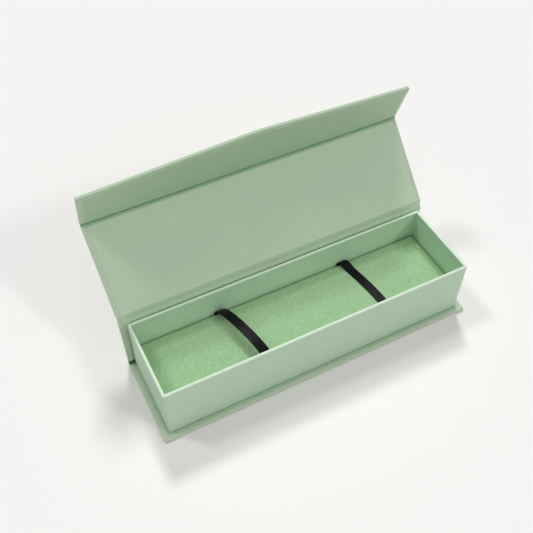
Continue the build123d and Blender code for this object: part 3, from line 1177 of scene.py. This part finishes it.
def tailPath(side):  # under the insert and up the gap
    low = floorBoardHigh.z + bandStock["thickness"] / 2 + bandStock["tailGap"]
    start = Vector((side * (gapMiddle - bandStock["tail"]), low))
    corner = Vector((side * gapMiddle, low))
    return [start] + quarterBend(corner, bandStock["tailBend"], Vector((0, 1)), Vector((-side, 0)))


def bandSection():  # (across, half thickness) once round a band, its top first
    columns = bandStock["columns"]
    section = []
    for layer in (1, -1):
        for column in range(columns + 1):
            share = column / columns
            edge = 1 - (2 * share - 1) ** bandStock["edgePower"]
            rib = bandStock["ribHeight"] * (math.cos(2 * math.pi * bandStock["ribs"] * share) - 1) / 2
            lift = layer * (bandStock["thickness"] / 2 + rib) * max(bandStock["edgeLeast"], edge)
            section.append(((share - 0.5) * bandStock["width"] * -layer, lift))
    return section


def buildBand(side, node):
    band = bands[side]
    over = archPath(band) if side == "left" else lyingPath(band)
    path = evenPath(tailPath(1) + over + tailPath(-1)[::-1], bandStock["step"])
    section = bandSection()
    vertices, along = [], []
    length = 0.0
    for index, point in enumerate(path):
        before, after = path[max(0, index - 1)], path[min(len(path) - 1, index + 1)]
        length += (point - before).length
        normal = quarterLeft((before - after).normalized())    # away from the pad
        x = bandX(band, point.x)
        for across, lift in section:
            spot = point + normal * lift
            vertices.append((x + across, spot.x, spot.y))
        along += [length] * len(section)
    faces = ringFaces(len(path), len(section))
    piece = makePiece(f"band_{side}", vertices, faces, bandCloth, smoothAngle=60)
    piece.data.attributes.new("along", "FLOAT", "POINT").data.foreach_set("value", along)
    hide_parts(node)
    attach(piece, "base")


buildPad()
buildBand("left", "strap_left")
buildBand("right", "strap_right")
print("pad and bands made")

# CAD nodes that stay, inside the papers
finishes = {
    "grey_board": greyBoard,
    "corner_tape": cornerTape,
    "magnet": magnetPlating,
    "foam": suedeCloth,
    "suede_cloth": suedeCloth,
    "band_cloth": bandCloth,
    "cover_paper": coverPaper,
    "liner_paper": linerPaper,
    "tray_paper": trayPaper,
}
for part in frame["record"]["subparts"]:
    node = frame["nodes"][part["node"]]
    node.data.materials.clear()
    node.data.materials.append(finishes[part["material_slot"]])

# Stage: a plain pale floor, a soft sky and three soft lamps
studio = {
    "floor": (0.955, 0.935, 0.925),
    "floorRoughness": 0.9,
    "floorSpecular": 0.1,
    "floorHalf": 0.55,
    "sky": {"zenith": 0.628, "highFront": 0.803},
    "skyColour": (1.0, 0.956, 0.994),
    "background": (0.915, 0.908, 0.893),
    "spread": 10.0,
    "lampColour": (0.959, 1.0, 0.967),
    "lamps": {
        "back_right": ((0.263, 0.68, 1.0), 0.306),
        "back_left": ((-0.46, 0.43, 1.0), 0.161),
        "front_right": ((0.75, -1.06, 1.0), 0.1),
    },
}


def buildFloor():
    half = studio["floorHalf"]
    mesh = bpy.data.meshes.new("floor")
    corners = [(-half, -half, 0), (half, -half, 0), (half, half, 0), (-half, half, 0)]
    mesh.from_pydata(corners, [], [(0, 1, 2, 3)])
    floor = bpy.data.objects.new("floor", mesh)
    bpy.context.scene.collection.objects.link(floor)
    material, _, shader = newMaterial("floor", studio["floorRoughness"], studio["floorSpecular"])
    shader.inputs["Base Color"].default_value = (*studio["floor"], 1)
    mesh.materials.append(material)


def buildLamps():
    for name, (toward, share) in studio["lamps"].items():
        direction = Vector(toward)
        lamp = bpy.data.lights.new(name, "SUN")
        lamp.angle = math.radians(studio["spread"])
        lamp.color = studio["lampColour"]
        lamp.energy = share * math.pi * direction.length / direction.z
        holder = bpy.data.objects.new(name, lamp)
        holder.rotation_mode = "QUATERNION"
        holder.rotation_quaternion = direction.to_track_quat("Z", "Y")
        holder.location = direction
        bpy.context.scene.collection.objects.link(holder)


def buildWorld():  # the sky lights the object, and rays that show it see the plain background
    world = bpy.data.worlds.new("studio")
    bpy.context.scene.world = world
    world.use_nodes = True
    tree = world.node_tree
    tree.nodes.clear()
    place = addNode(tree, "ShaderNodeTexCoord", (-900, 300))
    parts = addNode(tree, "ShaderNodeSeparateXYZ", (-700, 300))
    tree.links.new(place.outputs["Generated"], parts.inputs[0])
    up = mathNode(tree, "MAXIMUM", parts.outputs[2], 0.0, (-500, 400))
    toFront = mathNode(tree, "MULTIPLY", parts.outputs[1], -1.0, (-600, 200))
    front = mathNode(tree, "MAXIMUM", toFront, 0.0, (-500, 200))
    levels = {"zenith": up, "highFront": front}
    total = 0.0
    for name, factor in levels.items():
        lit = mathNode(tree, "MULTIPLY", up, factor, (-400, 300))
        share = mathNode(tree, "MULTIPLY", lit, studio["sky"][name], (-300, 300))
        total = mathNode(tree, "ADD", share, total, (-200, 300))
    sky = addNode(tree, "ShaderNodeBackground", (0, 100), Color=(*studio["skyColour"], 1))
    tree.links.new(total, sky.inputs["Strength"])
    seen = addNode(tree, "ShaderNodeBackground", (0, -100), Color=(*studio["background"], 1), Strength=1.0)
    ray = addNode(tree, "ShaderNodeLightPath", (-600, 0))
    shown = ray.outputs["Is Camera Ray"]
    for label, x in (("Is Glossy Ray", -400), ("Is Transmission Ray", -200)):
        shown = mathNode(tree, "MAXIMUM", shown, ray.outputs[label], (x, 0))
    mix = addNode(tree, "ShaderNodeMixShader", (200, 0))
    tree.links.new(shown, mix.inputs["Fac"])
    tree.links.new(sky.outputs[0], mix.inputs[1])
    tree.links.new(seen.outputs[0], mix.inputs[2])
    tree.links.new(mix.outputs[0], addNode(tree, "ShaderNodeOutputWorld", (400, 0)).inputs["Surface"])


camera = {
    "place": (-168.19, -267.06, 454.12),
    "yaw": 27.683,
    "pitch": 50.122,
    "roll": 0.520,
    "lens": 51.10,
    "sensor": 36.0,
    "clip": (0.01, 50.0),
}


def buildCamera():
    view = bpy.data.cameras.new("camera")
    view.lens = camera["lens"]
    view.sensor_width = camera["sensor"]
    view.clip_start, view.clip_end = camera["clip"]
    holder = bpy.data.objects.new("camera", view)
    turn = Matrix.Rotation(math.radians(-camera["yaw"]), 4, "Z")
    turn = turn @ Matrix.Rotation(math.radians(90 - camera["pitch"]), 4, "X")
    turn = turn @ Matrix.Rotation(math.radians(camera["roll"]), 4, "Z")
    holder.matrix_world = Matrix.Translation(Vector(camera["place"]) * mm) @ turn
    bpy.context.scene.collection.objects.link(holder)
    bpy.context.scene.camera = holder


buildFloor()
buildLamps()
buildWorld()
buildCamera()
bpy.context.scene.view_settings.view_transform = "Standard"
print("stage made")
